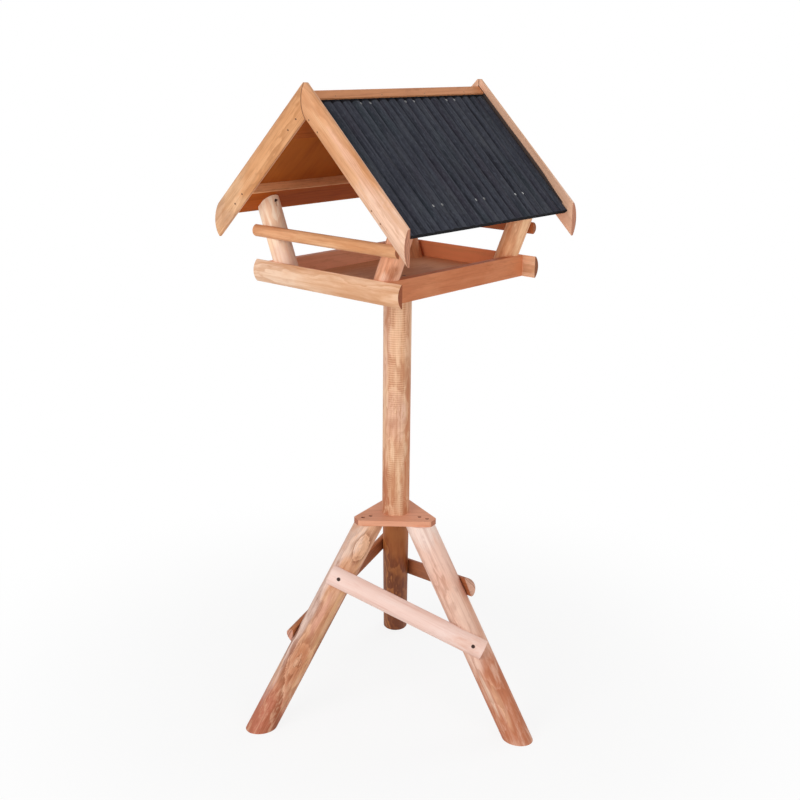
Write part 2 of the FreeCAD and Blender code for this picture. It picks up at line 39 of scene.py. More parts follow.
FLOOR_TOP = 0.985
TRAY_MIDDLE = 0.9975                # height of the middle of the end rails and side boards
SIDE_BOARD_PLACE = 0.157            # from the pole's axis to the middle of a side board
RAIL_PLACE = 0.212                  # and to the flat backs of the end rails and perches
PERCH_HEIGHT = 1.079
POST_X, POST_Y = 0.125, 0.19        # where a post's axis meets the floor
POST_LEAN = math.radians(22)        # towards the eave

APEX, PITCH = 1.379, math.radians(44)
BARGEBOARD_PLACE = 0.2575           # from the middle of the ridge to their flat backs
CREST_DEPTH, STRIP_DEPTH = 0.017, 0.015     # depths below the top edge of the bargeboards
BARGEBOARD_DEPTH, PURLIN_DEPTH = 0.024, 0.04
BOARDS_PER_SLOPE = 4


# Colours, directions and frames

WHITE = (1, 1, 1, 1)


def srgb(text):
    """A hex colour as linear red, green, blue, alpha."""
    parts = [int(text[i:i + 2], 16) / 255 for i in (1, 3, 5)]
    return tuple(c / 12.92 if c <= 0.04045 else ((c + 0.055) / 1.055) ** 2.4 for c in parts) + (1,)


def direction(azimuth):
    """Level unit vector at that azimuth from +X, in degrees."""
    turn = math.radians(azimuth)
    return Vector((math.cos(turn), math.sin(turn), 0))


def grain_frame(origin, along, face):
    """Frame with X along the fibres and Z out of the face, as a 4x4 matrix."""
    x = Vector(along).normalized()
    z = Vector(face)
    z = (z - x * z.dot(x)).normalized()
    turn = Matrix((x, z.cross(x), z)).transposed()
    return Matrix.Translation(Vector(origin)) @ turn.to_4x4()


# Shader expressions

class Wave:
    """A node's output that varies over the surface. Arithmetic on it adds Math nodes."""

    def __init__(self, nodes, socket):
        self.nodes = nodes
        self.socket = socket

    def __add__(self, other):
        return self.nodes.math("ADD", self, other)

    __radd__ = __add__

    def __mul__(self, other):
        return self.nodes.math("MULTIPLY", self, other)

    __rmul__ = __mul__

    def __sub__(self, other):
        return self.nodes.math("SUBTRACT", self, other)

    def __rsub__(self, other):
        return self.nodes.math("SUBTRACT", other, self)

    def __truediv__(self, other):
        return self.nodes.math("DIVIDE", self, other)

    def __rtruediv__(self, other):
        return self.nodes.math("DIVIDE", other, self)

    def __abs__(self):
        return self.nodes.math("ABSOLUTE", self)

    def step(self, low, high):
        """0 below low, 1 above high, smooth between. With low above high it runs the other way."""
        return self.nodes.node("ShaderNodeMapRange", {"interpolation_type": "SMOOTHSTEP"},
                               {"Value": self, "From Min": low, "From Max": high})

    def bell(self, centre, width):
        """1 at the centre, falling to 0 at that distance on both sides."""
        return abs(self - centre).step(width, 0)


def set_stops(ramp, stops):
    """Give a colour ramp its stops (position, colour)."""
    while len(ramp.elements) < len(stops):
        ramp.elements.new(1)
    for element, (position, colour) in zip(ramp.elements, stops):
        element.position = position
        element.color = colour


class Nodes:
    """A node tree with one output node."""

    def __init__(self, tree, output_kind):
        self.tree = tree
        tree.nodes.clear()
        self.output = self.add(output_kind)

    def add(self, kind, settings=None, inputs=None):
        """A new node: its settings first, then the values or links of its sockets."""
        made = self.tree.nodes.new(kind)
        for key, value in (settings or {}).items():
            if key == "stops":
                set_stops(made.color_ramp, value)
            else:
                setattr(made, key, value)
        for key, value in (inputs or {}).items():
            self.feed(made.inputs[key], value)
        return made

    def node(self, kind, settings=None, inputs=None, output=0):
        """What one output of a new node gives."""
        return Wave(self, self.add(kind, settings, inputs).outputs[output])

    def feed(self, socket, value):
        """Link a wave to a socket, or set a plain value on it."""
        if isinstance(value, Wave):
            self.tree.links.new(value.socket, socket)
        else:
            socket.default_value = value

    def show(self, surface):
        """Link a shader to the output."""
        self.feed(self.output.inputs["Surface"], surface)

    def math(self, operation, *values):
        """What a Math node makes of one or two values."""
        return self.node("ShaderNodeMath", {"operation": operation}, dict(enumerate(values)))

    def seen_directly(self):
        """1 for a ray from the camera, off gloss or through glass, 0 for the light that falls."""
        paths = self.add("ShaderNodeLightPath")
        camera, gloss, glass = (Wave(self, paths.outputs[name]) for name in
                                ("Is Camera Ray", "Is Glossy Ray", "Is Transmission Ray"))
        return self.math("MAXIMUM", self.math("MAXIMUM", camera, gloss), glass)


MIX_FIRST, MIX_SECOND, MIX_RESULT = 6, 7, 2      # the colour sockets of a Mix node


class Finish(Nodes):
    """One material. Its tone is the colour so far, which paint lays more tones over."""

    def __init__(self, name, tone=None):
        self.material = bpy.data.materials.new(name)
        self.material.use_nodes = True
        super().__init__(self.material.node_tree, "ShaderNodeOutputMaterial")
        self.surface = self.add("ShaderNodeBsdfPrincipled")
        self.show(Wave(self, self.surface.outputs[0]))
        self.tone = tone

    def set(self, **inputs):
        """Set or link inputs of the surface shader, with _ for a space."""
        for key, value in inputs.items():
            self.feed(self.surface.inputs[key.replace("_", " ")], value)

    def bump(self, height, distance, strength):
        """Relief of the surface, as deep as the distance in metres."""
        self.set(Normal=self.node("ShaderNodeBump", None, {"Height": height, "Distance": distance,
                                                           "Strength": strength}))

    # Places and directions

    def place(self):
        """Place in metres in the frame of the whole table."""
        return self.node("ShaderNodeTexCoord", output="Object")

    def local(self, matrix):
        """Place in metres in a piece's own frame."""
        return self.node("ShaderNodeMapping", {"vector_type": "TEXTURE"},
                         {"Vector": self.place(), "Location": matrix.to_translation(),
                          "Rotation": matrix.to_euler()})

    def split(self, vector):
        """The three parts of a vector."""
        made = self.add("ShaderNodeSeparateXYZ", None, {0: vector})
        return [Wave(self, output) for output in made.outputs]

    def join(self, x, y, z):
        """A vector of three parts."""
        return self.node("ShaderNodeCombineXYZ", None, {0: x, 1: y, 2: z})

    def vector(self, operation, *values, output=0):
        """What a Vector Math node makes of one or two vectors."""
        return self.node("ShaderNodeVectorMath", {"operation": operation},
                         dict(enumerate(values)), output)

    def distance(self, vector, centre, reach):
        """Distance from a centre, in units of the reach along each axis."""
        away = self.vector("SUBTRACT", vector, centre)
        away = self.vector("MULTIPLY", away, [1 / r for r in reach])
        return self.vector("LENGTH", away, output="Value")

    def facing(self, axis):
        """How squarely the surface faces along an axis: 1 square on, either way."""
        normal = self.node("ShaderNodeNewGeometry", output="Normal")
        return abs(self.vector("DOT_PRODUCT", normal, Vector(axis), output="Value"))

    # Patterns and colours

    def noise(self, vector, fineness=None, detail=3.0, rough=0.55, twist=0.0, shift=0.0):
        """Cloudy pattern from 0 to 1, with one lump to a unit of the vector, or as many along
        each axis as the fineness says."""
        if fineness:
            vector = self.vector("MULTIPLY", vector, fineness)
        return self.node("ShaderNodeTexNoise", {"noise_dimensions": "4D"},
                         {"Vector": vector, "W": shift, "Scale": 1.0, "Detail": detail,
                          "Roughness": rough, "Distortion": twist})

    def mix(self, share, first, second):
        """Two colours mixed, by the share of the second."""
        return self.node("ShaderNodeMix", {"data_type": "RGBA"},
                         {0: share, MIX_FIRST: first, MIX_SECOND: second}, output=MIX_RESULT)

    def ramp(self, wave, stops):
        """A colour for each value of the wave, from stops (position, colour)."""
        return self.node("ShaderNodeValToRGB", {"stops": stops}, {0: wave})

    def paint(self, share, tone):
        """Lay a tone over the colour so far, where and as far as the share says."""
        self.tone = self.mix(share, self.tone, tone)


# Timber. Fineness is lumps to a metre along the fibres, across them, and out of the face.

FIBRE = (14, 700, 700)
VEIN = (3.5, 120, 120)
CLOUD = (7, 26, 26)
BURR = (20, 75, 75)
BEND = (2.6, 7, 7)
CROOK = (9, 32, 32)

SEAM_SHADE_TONE = "#5A321E"
ROOF_BAND_TONE = "#2C2A2C"
SAWN_RING_TONE = "#4A2415"

# Where things on the timber begin and are full, in metres
FLAT_BACK = (0.0025, 0.0005)        # out of the face
BACK_FADE = 0.003                   # at the ends of the flat back, along the fibres
SEAM_SHADE_REACH = (0.0016, 0.0004)             # from X = 0
RIPPLED_SIDE = (0.019, 0.028)       # out from the pole's axis, on its near side
RIPPLE_STEP = 0.0049
BURRED_HEIGHT, BURRED_REACH = 0.20, 0.11    # on the pole
ROOF_BAND_FACE = (0.0015, 0.0003)   # out of the face of a bargeboard
ROOF_BAND_TOP = (0.0126, 0.0114)    # across it
ROOF_BAND_FOOT = (-0.004, 0.0)
ROOF_BAND_END = (0.338, 0.334)      # down the slope
ROOF_BAND_WIDENS = (0.24, 0.345)


class Timber(Finish):
    """Stained timber as a solid, with its fibres along X of the piece's own frame.

    tones are early wood, its darker clouds, and late wood. Numbers from 0 to 1 in a step are
    the values of a pattern where a tone begins and is full, and those after it the tone's share.
    """

    def __init__(self, name, matrix, tones, seed):
        super().__init__(name)
        self.matrix = matrix
        self.seed = seed
        self.light, self.middle, self.dark = (srgb(tone) for tone in tones)
        self.here = self.local(matrix)
        self.along, self.across, self.out = self.split(self.here)
        self.fibre = self.noise(self.here, FIBRE, detail=2.0, rough=0.65, shift=seed + 1)
        self.vein = self.noise(self.here, VEIN, rough=0.6, shift=seed + 2)
        self.cloud = self.noise(self.here, CLOUD, rough=0.6, shift=seed + 3)
        self.burr = self.noise(self.here, BURR, detail=4.0, rough=0.68, twist=0.5,
                               shift=seed + 11)

    def grow(self, pith, ring, wander, taper, swirls):
        """Rings round a pith that wanders. The taper makes them close in along the fibres,
        which draws flames where they are cut flat. Swirls (place, size) push them aside, as a
        knot under the surface does."""
        bend = self.noise(self.here, BEND, detail=1.0, shift=self.seed) - 0.5
        crook = self.noise(self.here, CROOK, rough=0.6, shift=self.seed + 7) - 0.5
        y = self.across - pith[0] + bend * (wander * 5) + crook * (wander * 1.6)
        z = self.out - pith[1] + crook * (wander * 4) - bend * (wander * 3)
        radius = self.math("SQRT", y * y + z * z) + self.along * taper
        for place, size in swirls:
            away = self.distance(self.here, place, (size * 2.0, size, size)) + crook * 0.9
            radius = radius + self.math("EXPONENT", away * away * -1) * (ring * 2.2)
            radius = radius + away.step(1.8, 0.3) * (self.burr - 0.5) * (ring * 5)
        turn = radius / ring
        uneven = self.noise(self.join(turn * 0.35, self.seed, 0.0), detail=1.0) - 0.5
        turn = turn + uneven * 2.6 + (self.fibre - 0.5) * 0.25

        # Place within a ring from 0 to 1, how strongly each ring shows, and its late wood,
        # which darkens slowly and ends at once
        self.phase = self.math("FRACT", turn)
        self.weight = self.noise(self.join(turn * 0.8, self.seed + 5, self.along * 3),
                                 detail=0.0).step(0.28, 0.62)
        self.late = self.phase.step(0.10, 0.84) * self.phase.step(1.0, 0.86) * self.weight

    def stain(self, clouds, washes):
        """The clouded ground tone, and washes (place, reach, tone, share), which are patches where
        the stain took more or less; some washes are painted light and painted shade, as the looks
        say."""
        self.tone = self.mix(self.cloud.step(0.38, 0.66) * clouds, self.light, self.middle)
        for place, reach, tone, share in washes:
            away = self.distance(self.here, place, reach)
            away = away + (self.cloud - 0.5) * 1.3 + (self.burr - 0.5) * 1.4
            self.paint(away.step(1.15, 0.45) * share, srgb(tone))

    def draw_grain(self, figure, mottle, streaks):
        """Late wood with a pale line beside it, burrs, veins and fibres, and their relief."""
        self.paint(self.late * (0.62 * figure), self.dark)
        self.paint(self.phase.bell(0.02, 0.22) * self.weight * (0.35 * figure), self.light)
        self.paint(self.burr.step(0.50, 0.66) * (0.55 * mottle), self.light)
        self.paint(self.burr.step(0.48, 0.32) * (0.50 * mottle), self.dark)
        self.paint(self.vein.step(0.50, 0.74) * (0.42 * streaks), self.dark)
        self.paint(self.vein.step(0.48, 0.28) * (0.40 * streaks), self.light)
        self.paint(self.fibre.step(0.50, 0.72) * (0.30 * streaks), self.dark)
        self.relief = self.fibre * 0.4 + self.vein * 0.35 + self.late * 0.12

    def turn_on_lathe(self):
        """Fine ripples round the near side of the pole, fainter where it has burrs."""
        ripple = self.math("SINE", self.along * (math.tau / RIPPLE_STEP) + self.cloud * 4)
        ripple = ripple * self.cloud.step(0.36, 0.56) * self.out.step(*RIPPLED_SIDE)
        ripple = ripple * (1 - self.along.bell(BURRED_HEIGHT, BURRED_REACH) * 0.75)
        self.paint(ripple.step(0.0, 1.0) * 0.55, self.light)
        self.paint(ripple.step(0.0, -1.0) * 0.25, self.dark)
        self.relief = self.relief + ripple * 0.4

    def colour_back(self, tone, reach):
        """The flat back of a half-round, as far along the fibres as the reach."""
        back = self.mix(self.vein.step(0.45, 0.65) * 0.3, srgb(tone), self.dark)
        inside = abs(self.along).step(reach, reach - BACK_FADE)
        self.paint(self.out.step(*FLAT_BACK) * inside, back)

    def paint_seam_shade(self):
        """Painted shade in the joint where two bargeboards meet under the ridge, at X = 0 of the
        whole table.
        """
        beside = abs(self.split(self.place())[0])
        self.paint(beside.step(*SEAM_SHADE_REACH) * 0.8, srgb(SEAM_SHADE_TONE))

    def paint_roof_band(self, upward):
        """A near-black band on the flat back of a bargeboard, along the roof where it meets the
        board and a little above it. upward is 1 or -1, the way along the frame's Y in which the
        slope faces."""
        height = self.across * upward + (self.vein - 0.5) * 0.003
        height = height + self.along.step(*ROOF_BAND_WIDENS) * 0.006
        band = self.out.step(*ROOF_BAND_FACE) * height.step(*ROOF_BAND_TOP)
        band = band * height.step(*ROOF_BAND_FOOT) * self.along.step(*ROOF_BAND_END)
        self.paint(band * 0.93, srgb(ROOF_BAND_TONE))

    def saw_ends(self, tone, limit):
        """End grain, where the surface faces along the fibres more squarely than the limit."""
        end = self.facing(self.matrix.to_3x3().col[0]).step(limit, limit + 0.12)
        sawn = self.mix(self.late * 0.5, srgb(tone), srgb(SAWN_RING_TONE))
        sawn = self.mix(self.fibre.step(0.35, 0.7) * 0.35, sawn, self.dark)
        self.paint(end, sawn)


def timber(name, matrix, tones, *, pith=(0.0, 0.0), ring=0.005, wander=0.004, taper=0.02,
           swirls=(), figure=1.0, streaks=1.0, clouds=0.5, mottle=0.4, washes=(), end_tone=None,
           end_limit=0.6, back_tone=None, back_reach=1.0, gloss=0.3, lathe_marks=False,
           seam_shade=False, roof_band=0, seed):
    """The finish of one piece. Timber's methods say what each value does; figure, mottle and
    streaks are how strongly the rings, the burrs, and the veins and fibres show."""
    wood = Timber(name, matrix, tones, seed)
    wood.grow(pith, ring, wander, taper, swirls)
    wood.stain(clouds, washes)
    wood.draw_grain(figure, mottle, streaks)
    if lathe_marks:
        wood.turn_on_lathe()
    if back_tone:
        wood.colour_back(back_tone, back_reach)
    if seam_shade:
        wood.paint_seam_shade()
    if roof_band:
        wood.paint_roof_band(roof_band)
    if end_tone:
        wood.saw_ends(end_tone, end_limit)
    wood.set(Base_Color=wood.tone, Roughness=0.52 + wood.fibre * 0.14, Specular_IOR_Level=gloss)
    wood.bump(wood.relief, distance=0.0006, strength=0.45)
    return wood.material


# Black roof and metal

ROOF_FIBRE = (9, 420, 420)
ROOF_VEIN = (7, 110, 110)
ROOF_GRIT = (110, 260, 260)
ROOF_CLOUD = (8, 18, 18)
ROOF_HUE = (6, 30, 30)
ROOF_CLOUDS = [(0.30, srgb("#30323B")), (0.5, srgb("#3B3D47")), (0.72, srgb("#484A50"))]
THICK_STAIN = srgb("#14151A")
METAL_WEAR = (900, 900, 900)
METAL_TARNISH = (160, 160, 160)
TARNISH_TONE = (0.02, 0.018, 0.016, 1)

# Where things on the roof begin and are full, in metres
CREST = (-0.0042, -0.0005)          # out of the slope, from the crests
UNDERSIDE = (-0.0080, -0.0105)
STRIP_SHADE = (0.0392, 0.0374)      # down the slope, just past the edge of the ridge strip


def roof_wood(name, matrix, seed):
    """Black stain over fluted boards: painted shade in the flutes and beside the ridge strip, fine
    fibres, and a brown underside. X of the frame runs down the slope and Z out of it, from the
    crests."""
    wood = Finish(name)
    here = wood.local(matrix)
    down, _, out = wood.split(here)
    fibre = wood.noise(here, ROOF_FIBRE, rough=0.65, shift=seed)
    vein = wood.noise(here, ROOF_VEIN, rough=0.6, shift=seed + 4)
    grit = wood.noise(here, ROOF_GRIT, detail=2.0, rough=0.6, shift=seed + 17)
    cloud = wood.noise(here, ROOF_CLOUD, shift=seed + 9)
    hue = wood.noise(here, ROOF_HUE, detail=2.0, shift=seed + 13)
    crest = out.step(*CREST)
    flute = 1 - crest

    # Clouds of stain, a little red or green in places
    wood.tone = wood.ramp(cloud, ROOF_CLOUDS)
    wood.paint(hue.step(0.50, 0.68) * 0.45, srgb("#3A333E"))
    wood.paint(hue.step(0.48, 0.32) * 0.40, srgb("#2C383C"))

    # Worn streaks and specks, and others where the stain lies thick
    wood.paint(vein.step(0.50, 0.66) * (0.42 - crest * 0.1), srgb("#535761"))
    wood.paint(vein.step(0.48, 0.34) * 0.42, THICK_STAIN)
    wood.paint(grit.step(0.52, 0.66) * 0.30, srgb("#5A5E68"))
    wood.paint(grit.step(0.48, 0.34) * 0.24, THICK_STAIN)
    wood.paint(fibre.step(0.54, 0.72) * 0.40, srgb("#62666F"))
    wood.paint(fibre.step(0.46, 0.30) * 0.38, THICK_STAIN)

    # Flutes: painted shade, with some dust
    wood.paint(flute * (0.36 + cloud.step(0.56, 0.40) * 0.2), srgb("#101116"))
    wood.paint(flute * cloud.step(0.50, 0.66) * 0.25, srgb("#454852"))

    # Painted shade just past the edge of the ridge strip, and black on the ends at the eave
    strip_shade_mask = (down - flute * 0.003).step(*STRIP_SHADE)
    eave = wood.facing(matrix.to_3x3().col[0]).step(0.45, 0.62)
    wood.paint(wood.math("MAXIMUM", strip_shade_mask, eave) * 0.85, srgb("#08080A"))

    # Underside
    flat = wood.facing(matrix.to_3x3().col[2]).step(0.7, 0.9)
    brown = wood.mix(cloud.step(0.35, 0.65) * 0.6, srgb("#C26E2E"), srgb("#AA5C26"))
    brown = wood.mix(vein.step(0.45, 0.70) * 0.20, brown, srgb("#8A4A22"))
    wood.paint(out.step(*UNDERSIDE) * flat, brown)

    wood.set(Base_Color=wood.tone, Roughness=0.70 + fibre * 0.2, Specular_IOR_Level=0.09)
    wood.bump(fibre * 0.5 + vein * 0.5, distance=0.0008, strength=0.6)
    return wood.material


def steel(name, colour, metallic, rough):
    """Metal with dark tarnish in patches and fine wear."""
    metal = Finish(name, srgb(colour))
    here = metal.place()
    wear = metal.noise(here, METAL_WEAR, detail=2.0)
    tarnish = metal.noise(here, METAL_TARNISH, detail=2.0)
    metal.paint(tarnish.step(0.4, 0.7) * 0.5, TARNISH_TONE)
    metal.set(Base_Color=metal.tone, Metallic=metallic, Roughness=(rough - 0.1) + wear * 0.25)
    metal.bump(wear, distance=0.0001, strength=0.4)
    return metal.material


def dress(node, material):
    """Give a node of the solids its finish."""
    for slot in NODES[node].material_slots:
        slot.material = material


def add_object(name, data):
    """Put a mesh, lamp or camera into the scene."""
    thing = bpy.data.objects.new(name, data)
    bpy.context.scene.collection.objects.link(thing)
    return thing


# Camera, whose side the grain of the round pieces is laid out to face

CAMERA_TURN, CAMERA_DROP, CAMERA_ROLL = 41.2, 16.957, 0.6    # degrees
CAMERA_REACH, CAMERA_SHIFT, CAMERA_HEIGHT = 2.3698, 0.0071, 1.4334    # out, right and up
PHOTO_WIDTH, FOCAL_LENGTH = 800, 1148.26                     # pixels
SENSOR_WIDTH = 36                                            # millimetres
VIEW_END = 50
VIEWER = direction(CAMERA_TURN - 90)      # level, from the table to the camera


def camera():
    """The photographed view: its turn from the front gable, its drop and its roll."""
    drop, roll = math.radians(CAMERA_DROP), math.radians(CAMERA_ROLL)
    level = direction(CAMERA_TURN)
    back = VIEWER * math.cos(drop) + Vector(UP) * math.sin(drop)
    up = back.cross(level)
    right = math.cos(roll) * level + math.sin(roll) * up
    top = -math.sin(roll) * level + math.cos(roll) * up
    place = VIEWER * CAMERA_REACH + level * CAMERA_SHIFT + Vector(UP) * CAMERA_HEIGHT

    data = bpy.data.cameras.new("camera")
    data.sensor_width = SENSOR_WIDTH
    data.lens = FOCAL_LENGTH / PHOTO_WIDTH * SENSOR_WIDTH
    data.clip_end = VIEW_END
    thing = add_object("camera", data)
    axes = Matrix((right, top, back)).transposed()
    thing.matrix_world = Matrix.Translation(place) @ axes.to_4x4()
    bpy.context.scene.camera = thing


# Stand. A look is the values of timber that set one piece apart from its fellows. Washes and
# swirls lie in the frame of their piece: in a leg's and the pole's, X runs up from the foot, +Y
# is the left of the photographed view and +Z its near side.

LEGS = {
    # rear: dark tones, partly a darker stain and partly painted shade
    "rear": dict(
        tones=("#84400F", "#6C3006", "#B87036"),
        figure=1.5, mottle=0.1, taper=0.05, streaks=0.7,
        washes=(((0.14, 0, 0), (0.20, 0.08, 0.08), "#6C2C02", 0.75),
                ((0.44, 0, 0), (0.14, 0.08, 0.08), "#B4642A", 0.7))),
    "left": dict(
        tones=("#EDBC9A", "#CC8B60", "#8C4C28"),
        figure=1.25, mottle=0.95, taper=0.03,
        swirls=(((0.455, -0.006, 0.026), 0.015), ((0.185, 0.010, 0.024), 0.016),
                ((0.150, -0.008, 0.026), 0.020)),
        washes=(((0.02, 0, 0), (0.12, 0.08, 0.08), "#B8644A", 0.9),
                # pale left edge: partly stain, partly painted highlight
                ((0.30, 0.028, 0.010), (0.24, 0.012, 0.05), "#F6DCD0", 0.85),
                ((0.465, 0.012, 0.020), (0.05, 0.018, 0.05), "#F6DCCC", 0.7),
                # paler band right of the middle: painted light on the side the lamps leave darker
                ((0.27, -0.017, 0.020), (0.22, 0.008, 0.02), "#FFCE9C", 0.95),
                # dark right edge: painted shade
                ((0.25, -0.030, 0.004), (0.26, 0.006, 0.02), "#A8623C", 0.8),
                ((0.40, -0.004, 0.024), (0.05, 0.022, 0.03), "#BE7C54", 0.65),
                ((0.28, 0.004, 0.028), (0.08, 0.011, 0.02), "#D89884", 0.65),
                ((0.17, 0.0, 0.026), (0.08, 0.030, 0.03), "#C0754E", 0.6))),
    "right": dict(
        tones=("#F3C8B0", "#D99A7C", "#A86040"),
        figure=0.55, mottle=0.55, taper=0.02, streaks=0.8,
        swirls=(((0.060, 0.014, 0.024), 0.016),),
        washes=(((0.47, 0, 0), (0.19, 0.08, 0.08), "#F5CFBD", 0.9),
                ((0.51, 0, 0), (0.06, 0.08, 0.08), "#FFEBE0", 0.7),
                ((0.35, 0.004, 0.02), (0.07, 0.03, 0.05), "#E8B096", 0.5),
                ((0.08, -0.004, 0), (0.14, 0.08, 0.08), "#BE6C42", 0.9),
                ((0.29, 0, 0.02), (0.09, 0.04, 0.05), "#F8D6C2", 0.7),
                ((0.09, -0.002, 0.028), (0.06, 0.007, 0.02), "#E6B08C", 0.8),
                ((0.12, 0.013, 0.024), (0.06, 0.005, 0.02), "#F2CFB6", 0.9),
                ((0.20, 0.010, 0.02), (0.04, 0.016, 0.03), "#F4D2C0", 0.7))),
}


def leg_point(leg, height):
    """On a leg's axis, at that height above the ground."""
    reach = FOOT_RADIUS - (FOOT_RADIUS - LEG_TOP_RADIUS) * height / LEG_TOP
    return direction(STAND_TURN + LEG_TURNS[leg]) * reach + Vector(UP) * height


for number, (leg, look) in enumerate(LEGS.items(), start=1):
    foot = leg_point(leg, 0)
    dress(f"leg_{leg}", timber(
        f"leg_{leg}_timber", grain_frame(foot, leg_point(leg, LEG_TOP) - foot, VIEWER),
        **look, pith=(0.004, -0.006), ring=0.0060, wander=0.006, clouds=0.8,
        end_tone="#8A4C30", end_limit=0.86, seed=11.3 * number))

# Each brace: its high end and its low end (leg, height), and its look
BRACES = {
    # left and right run to the rear leg: their dark tones are partly stain and partly painted
    # shade, and their pale end grain and the left one's pale wash at its low end are painted light
    # where the ends reach past the legs
    "left": (("rear", 0.302), ("left", 0.194), dict(
        tones=("#B0663A", "#8C4C2A", "#663418"), end_tone="#F0AE94",
        washes=(((0.37, 0, 0), (0.07, 0.05, 0.05), "#D88E60", 0.85),))),
    "front": (("left", 0.322), ("right", 0.194), dict(
        tones=("#F9DCD1", "#F3CBBC", "#DCA48E"), end_tone="#B98068",
        washes=(((0.33, 0, 0), (0.09, 0.05, 0.05), "#E8B298", 0.65),))),
    "right": (("right", 0.301), ("rear", 0.213), dict(
        tones=("#BC7248", "#985632", "#6C381C"), end_tone="#DAA890")),
}
for number, (brace, (high, low, look)) in enumerate(BRACES.items(), start=2):
    start, end = leg_point(*high), leg_point(*low)
    middle = (start + end) / 2
    outwards = Vector((middle.x, middle.y, BRACE_RISE))
    dress(f"brace_{brace}", timber(
        f"brace_{brace}_timber", grain_frame(start, end - start, outwards),
        **look, pith=(0.004, -0.06), ring=0.0045, wander=0.0025, figure=0.35, streaks=1.0,
        clouds=0.6, mottle=0.4, seed=5.1 * number))

dress("tripod_plate", timber(
    "plate_timber", grain_frame((0, 0, LEG_TOP), direction(STAND_TURN - 90), UP),
    ("#E6A584", "#DB9675", "#AE6A4C"), pith=(0.02, -0.09), ring=0.006, wander=0.003,
    figure=0.35, streaks=0.8, end_tone="#BC7658", seed=3.7))

dress("pole", timber(
    "pole_timber", grain_frame((0, 0, POLE_FOOT), UP, VIEWER),
    ("#F4CDA8", "#E3A884", "#BC7A54"), pith=(0.004, -0.004), ring=0.0062, wander=0.005,
    swirls=(((0.195, 0.012, 0.027), 0.015), ((0.232, -0.010, 0.027), 0.016),
            ((0.262, 0.010, 0.027), 0.014)),
    washes=(((0.05, 0.022, 0.018), (0.09, 0.020, 0.03), "#B4623C", 0.9),
            ((0.09, -0.022, 0.018), (0.09, 0.012, 0.03), "#BE6842", 0.8),
            ((0.13, -0.025, 0.014), (0.21, 0.014, 0.03), "#C87C50", 0.85),
            ((0.235, 0.004, 0.028), (0.07, 0.03, 0.03), "#E2B098", 0.7),
            ((0.240, -0.012, 0.026), (0.022, 0.012, 0.03), "#F4CBB2", 0.75),
            ((0.215, 0.010, 0.026), (0.018, 0.010, 0.03), "#C58A6C", 0.7),
            ((0.190, -0.004, 0.028), (0.016, 0.014, 0.03), "#EFC2A4", 0.75),
            ((0.165, 0.012, 0.026), (0.014, 0.010, 0.03), "#C98C68", 0.6),
            ((0.40, 0.024, 0.016), (0.14, 0.014, 0.03), "#EBC2AC", 0.75),
            ((0.40, -0.012, 0.026), (0.14, 0.006, 0.02), "#DB9C6E", 0.6),
            ((0.10, 0.004, 0.028), (0.07, 0.020, 0.02), "#DDA67C", 0.6)),
    figure=1.1, streaks=1.5, clouds=0.9, mottle=1.2, end_tone="#8A5232", lathe_marks=True,
    seed=21.0))


# Tray

dress("tray_floor", timber(
    "tray_floor_timber", grain_frame((0, 0, FLOOR_TOP), ALONG_RIDGE, UP),
    ("#D8A278", "#C68A66", "#9E6242"), pith=(0.03, -0.12), ring=0.007, wander=0.004,
    washes=(((0.01, 0, 0), (0.12, 0.12, 0.05), "#B0714C", 0.7),),
    figure=0.25, streaks=0.5, mottle=0.3, seed=31.0))

SIDE_BOARDS = {
    "right": dict(tones=("#DA8C60", "#CC784C", "#A85C36"),
                  washes=(((0.02, 0, 0.008), (0.11, 0.05, 0.05), "#C87244", 0.6),)),
    "left": dict(tones=("#FFC09C", "#F8B48E", "#CC8864")),
}
for side, look in SIDE_BOARDS.items():
    sign = SIDES[side]
    dress(f"side_board_{side}", timber(
        f"side_board_{side}_timber",
        grain_frame((sign * SIDE_BOARD_PLACE, 0, TRAY_MIDDLE), ALONG_RIDGE, (sign, 0, 0)),
        **look, pith=(0.01, -0.06), ring=0.006, wander=0.003, figure=0.35, streaks=1.0,
        mottle=0.6, end_tone="#8A4A30", seed=33.0 + sign))

END_RAILS = {
    "front": dict(end_tone="#94482A",
                  washes=(((-0.15, 0, 0.01), (0.09, 0.04, 0.03), "#F9DAC0", 0.7),)),
    "back": dict(end_tone="#844A2E",
                 washes=(((0.185, 0, 0), (0.03, 0.05, 0.03), "#FFC8A0", 0.9),)),
}
for end, look in END_RAILS.items():
    sign = ENDS[end]
    # The end rails' flat backs take back_tone only inside the tray, out to back_reach: partly
    # stain and partly painted shade.
    dress(f"end_rail_{end}", timber(
        f"end_rail_{end}_timber",
        grain_frame((0, sign * RAIL_PLACE, TRAY_MIDDLE), ACROSS_EAVES, (0, sign, 0)),
        ("#F0C6A4", "#DEA478", "#C48250"), **look, pith=(0.008, -0.055), ring=0.0055,
        wander=0.004, figure=0.8, streaks=1.1, clouds=0.7, mottle=0.5, back_tone="#E88E5E",
        back_reach=0.166, seed=41.0 + sign))
    dress(f"perch_{end}", timber(
        f"perch_{end}_timber",
        grain_frame((0, sign * RAIL_PLACE, PERCH_HEIGHT), ACROSS_EAVES, (0, sign, 0)),
        ("#EFB98C", "#D89460", "#AC683A"), pith=(0.004, -0.04), ring=0.005, wander=0.003,
        washes=(((-0.14, 0, 0.01), (0.08, 0.04, 0.03), "#DC9668", 0.6),),
        figure=0.7, streaks=1.1, clouds=0.8, mottle=0.5, end_tone="#A8623C",
        back_tone="#B4683C", seed=47.0 + sign))


# Posts

